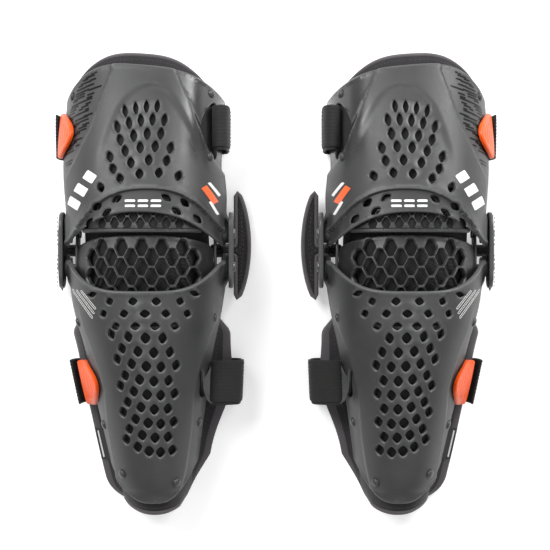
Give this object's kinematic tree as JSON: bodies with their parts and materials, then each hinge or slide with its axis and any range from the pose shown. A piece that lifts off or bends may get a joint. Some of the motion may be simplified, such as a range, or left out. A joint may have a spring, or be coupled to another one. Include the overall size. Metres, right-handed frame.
{
  "type": "knee guards",
  "caption": "Pair of motorcycle knee and shin guards: vented hard shells over foam liners, hinged at a honeycomb patella cup, with elastic straps and orange hook clips.",
  "frame": {"origin": "midway between the two guards, on the surface that they lie on, in the middle of their length", "axes": "+Y to the thigh ends, +Z to the fronts of the legs, +X to the left guard, so that the right guard is at -X"},
  "size_m": [0.4112, 0.4281, 0.1165],
  "materials": {
    "shell": "matte",
    "honeycomb": "satin",
    "link": "satin",
    "liner": "matte",
    "strap": "matte",
    "clip": "satin",
    "fastener": "satin"
  },
  "bodies": {
    "right_shin": {"right_shin_shell": "shell", "right_shin_liner": "liner", "right_lower_strap": "strap", "right_shin_rivet_medial_top": "fastener", "right_shin_rivet_lateral_top": "fastener", "right_shin_rivet_medial_mid": "fastener", "right_shin_rivet_lateral_mid": "fastener", "right_shin_rivet_medial_tip": "fastener", "right_shin_rivet_lateral_tip": "fastener"},
    "right_knee": {"right_patella_cup": "honeycomb", "right_knee_pad": "liner", "right_medial_wing": "liner", "right_lateral_wing": "liner", "right_medial_hinge_link": "link", "right_lateral_hinge_link": "link", "right_medial_upper_hinge_pin": "fastener", "right_medial_lower_hinge_pin": "fastener", "right_lateral_upper_hinge_pin": "fastener", "right_lateral_lower_hinge_pin": "fastener"},
    "right_thigh": {"right_thigh_shell": "shell", "right_thigh_mesh_panel": "honeycomb", "right_thigh_liner": "liner", "right_upper_strap": "strap", "right_thigh_rivet_medial_top": "fastener", "right_thigh_rivet_medial_low": "fastener", "right_thigh_rivet_lateral": "fastener"},
    "right_upper_clip": {"right_upper_clip": "clip"},
    "right_lower_clip": {"right_lower_clip": "clip"},
    "left_shin": {"left_shin_shell": "shell", "left_shin_liner": "liner", "left_lower_strap": "strap", "left_shin_rivet_medial_top": "fastener", "left_shin_rivet_lateral_top": "fastener", "left_shin_rivet_medial_mid": "fastener", "left_shin_rivet_lateral_mid": "fastener", "left_shin_rivet_medial_tip": "fastener", "left_shin_rivet_lateral_tip": "fastener"},
    "left_knee": {"left_patella_cup": "honeycomb", "left_knee_pad": "liner", "left_medial_wing": "liner", "left_lateral_wing": "liner", "left_medial_hinge_link": "link", "left_lateral_hinge_link": "link", "left_medial_upper_hinge_pin": "fastener", "left_medial_lower_hinge_pin": "fastener", "left_lateral_upper_hinge_pin": "fastener", "left_lateral_lower_hinge_pin": "fastener"},
    "left_thigh": {"left_thigh_shell": "shell", "left_thigh_mesh_panel": "honeycomb", "left_thigh_liner": "liner", "left_upper_strap": "strap", "left_thigh_rivet_medial_top": "fastener", "left_thigh_rivet_medial_low": "fastener", "left_thigh_rivet_lateral": "fastener"},
    "left_upper_clip": {"left_upper_clip": "clip"},
    "left_lower_clip": {"left_lower_clip": "clip"}
  },
  "joints": [
    {"name": "right_lower_knee_hinge", "type": "hinge", "parent": "right_shin", "child": "right_knee", "pos_m": [-0.1205, 0.016, 0.045], "axis": [-1, 0, 0], "range_deg": [0, 45]},
    {"name": "right_upper_knee_hinge", "type": "hinge", "parent": "right_knee", "child": "right_thigh", "pos_m": [-0.1205, 0.047, 0.045], "axis": [-1, 0, 0], "range_deg": [0, 45]},
    {"name": "right_upper_clip_hinge", "type": "hinge", "parent": "right_thigh", "child": "right_upper_clip", "pos_m": [-0.2035, 0.1386, 0.0262], "axis": [0, -1, 0], "range_deg": [0, 90]},
    {"name": "right_lower_clip_hinge", "type": "hinge", "parent": "right_shin", "child": "right_lower_clip", "pos_m": [-0.1822, -0.092, 0.0282], "axis": [0.22, -0.9755, 0], "range_deg": [0, 90]},
    {"name": "left_lower_knee_hinge", "type": "hinge", "parent": "left_shin", "child": "left_knee", "pos_m": [0.1205, 0.016, 0.045], "axis": [-1, 0, 0], "range_deg": [0, 45]},
    {"name": "left_upper_knee_hinge", "type": "hinge", "parent": "left_knee", "child": "left_thigh", "pos_m": [0.1205, 0.047, 0.045], "axis": [-1, 0, 0], "range_deg": [0, 45]},
    {"name": "left_upper_clip_hinge", "type": "hinge", "parent": "left_thigh", "child": "left_upper_clip", "pos_m": [0.2035, 0.1386, 0.0262], "axis": [0, 1, 0], "range_deg": [0, 90]},
    {"name": "left_lower_clip_hinge", "type": "hinge", "parent": "left_shin", "child": "left_lower_clip", "pos_m": [0.1822, -0.092, 0.0282], "axis": [0.22, 0.9755, 0], "range_deg": [0, 90]},
    {"name": "pair_spacing", "type": "slide", "parent": "right_shin", "child": "left_shin", "axis": [1, 0, 0], "range_m": [0, 0.06]}
  ],
  "couplings": [
    {"joint": "right_upper_knee_hinge", "follows": "right_lower_knee_hinge", "ratio": 1},
    {"joint": "left_upper_knee_hinge", "follows": "left_lower_knee_hinge", "ratio": 1}
  ]
}
